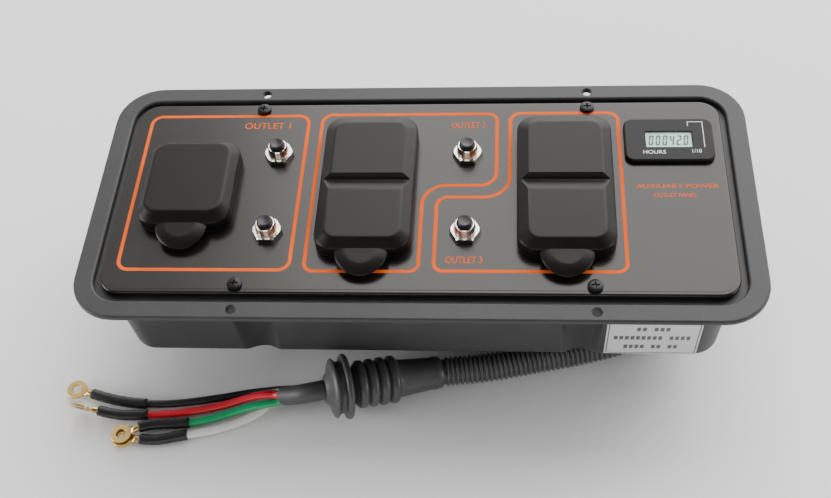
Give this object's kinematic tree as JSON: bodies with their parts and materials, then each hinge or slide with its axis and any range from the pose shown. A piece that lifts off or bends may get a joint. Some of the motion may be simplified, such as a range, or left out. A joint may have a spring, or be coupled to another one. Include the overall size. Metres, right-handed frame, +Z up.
{
  "type": "recessed power outlet panel",
  "caption": "Recessed flanged power outlet panel for a vehicle: flip covers over receptacles, push-to-reset breakers, hour meter and a conduit harness with ring terminals.",
  "frame": {"origin": "under the centre of the mounting flange, on the flat bottom that the tub stands on", "axes": "+X along the long side, +Y towards the cover hinges, +Z up, out of the face panel"},
  "size_m": [0.3854, 0.1934, 0.1],
  "materials": {
    "moulded_grey": "fine textured moulded plastic",
    "gasket_foam": "closed-cell foam",
    "satin_panel": "satin printed panel",
    "black_screw": "black oxide",
    "brass_part": "plain brass",
    "label_stock": "satin white film",
    "receptacle_black": "moulded nylon",
    "zinc_steel": "zinc plated",
    "nickel_plate": "bright nickel",
    "meter_black": "satin ABS",
    "lcd_face": "reflective LCD",
    "clear_window": "clear",
    "gland_nylon": "nylon",
    "conduit_black": "corrugated nylon",
    "boot_rubber": "moulded rubber",
    "jacket_grey": "PVC jacket",
    "wire_black": "PVC insulation",
    "wire_red": "PVC insulation",
    "wire_green": "PVC insulation",
    "wire_white": "PVC insulation",
    "sleeve_black": "heat-shrink sleeve",
    "cover_rubber": "matte moulded rubber",
    "button_grey": "satin",
    "button_red": "satin",
    "button_black": "satin phenolic"
  },
  "bodies": {
    "panel_body": {"breaker_body_1": "nickel_plate", "breaker_body_2": "nickel_plate", "breaker_body_3": "nickel_plate", "breaker_body_4": "nickel_plate", "breaker_nuts": "nickel_plate", "breaker_terminals": "zinc_steel", "conduit": "conduit_black", "conduit_gland": "gland_nylon", "cover_base_1": "cover_rubber", "cover_base_2": "cover_rubber", "cover_base_3": "cover_rubber", "duplex_body_2": "receptacle_black", "duplex_body_3": "receptacle_black", "duplex_face_2": "receptacle_black", "duplex_face_3": "receptacle_black", "duplex_strap_2": "zinc_steel", "duplex_strap_3": "zinc_steel", "duplex_terminals": "brass_part", "face_panel": "satin_panel", "gland_locknut": "gland_nylon", "harness_boot": "boot_rubber", "harness_jacket": "jacket_grey", "hinge_pin_1": "zinc_steel", "hinge_pin_2": "zinc_steel", "hinge_pin_3": "zinc_steel", "housing": "moulded_grey", "inner_leads": "wire_black", "locking_body": "receptacle_black", "locking_face": "receptacle_black", "locking_strap": "zinc_steel", "locking_terminals": "brass_part", "meter_case": "meter_black", "meter_clip": "meter_black", "meter_display": "lcd_face", "meter_terminals": "zinc_steel", "meter_window": "clear_window", "panel_gasket": "gasket_foam", "panel_screws": "black_screw", "rating_label": "label_stock", "ring_terminals": "brass_part", "shrink_sleeves": "sleeve_black", "strap_screws": "zinc_steel", "threaded_inserts": "brass_part", "wire_black": "wire_black", "wire_green": "wire_green", "wire_red": "wire_red", "wire_white": "wire_white"},
    "lid_1": {"cover_lid_1": "cover_rubber"},
    "lid_2": {"cover_lid_2": "cover_rubber"},
    "lid_3": {"cover_lid_3": "cover_rubber"},
    "test_2": {"test_button_2": "button_grey"},
    "reset_2": {"reset_button_2": "button_red"},
    "test_3": {"test_button_3": "button_grey"},
    "reset_3": {"reset_button_3": "button_red"},
    "breaker_1": {"breaker_button_1": "button_black"},
    "breaker_2": {"breaker_button_2": "button_black"},
    "breaker_3": {"breaker_button_3": "button_black"},
    "breaker_4": {"breaker_button_4": "button_black"}
  },
  "joints": [
    {"name": "lid_1_hinge", "type": "hinge", "parent": "panel_body", "child": "lid_1", "pos_m": [-0.1252, 0.028, 0.0925], "axis": [-1, 0, 0], "range_deg": [0, 104]},
    {"name": "lid_2_hinge", "type": "hinge", "parent": "panel_body", "child": "lid_2", "pos_m": [-0.0273, 0.0455, 0.0925], "axis": [-1, 0, 0], "range_deg": [0, 104]},
    {"name": "lid_3_hinge", "type": "hinge", "parent": "panel_body", "child": "lid_3", "pos_m": [0.0788, 0.0455, 0.0925], "axis": [-1, 0, 0], "range_deg": [0, 104]},
    {"name": "test_2_press", "type": "slide", "parent": "panel_body", "child": "test_2", "axis": [0, 0, -1], "range_m": [0, 0.001], "stiffness_N_per_m": 900},
    {"name": "reset_2_press", "type": "slide", "parent": "panel_body", "child": "reset_2", "axis": [0, 0, -1], "range_m": [0, 0.001], "stiffness_N_per_m": 900},
    {"name": "test_3_press", "type": "slide", "parent": "panel_body", "child": "test_3", "axis": [0, 0, -1], "range_m": [0, 0.001], "stiffness_N_per_m": 900},
    {"name": "reset_3_press", "type": "slide", "parent": "panel_body", "child": "reset_3", "axis": [0, 0, -1], "range_m": [0, 0.001], "stiffness_N_per_m": 900},
    {"name": "breaker_1_trip", "type": "slide", "parent": "panel_body", "child": "breaker_1", "axis": [0, 0, 1], "range_m": [0, 0.004], "stiffness_N_per_m": 300},
    {"name": "breaker_2_trip", "type": "slide", "parent": "panel_body", "child": "breaker_2", "axis": [0, 0, 1], "range_m": [0, 0.004], "stiffness_N_per_m": 300},
    {"name": "breaker_3_trip", "type": "slide", "parent": "panel_body", "child": "breaker_3", "axis": [0, 0, 1], "range_m": [0, 0.004], "stiffness_N_per_m": 300},
    {"name": "breaker_4_trip", "type": "slide", "parent": "panel_body", "child": "breaker_4", "axis": [0, 0, 1], "range_m": [0, 0.004], "stiffness_N_per_m": 300}
  ]
}
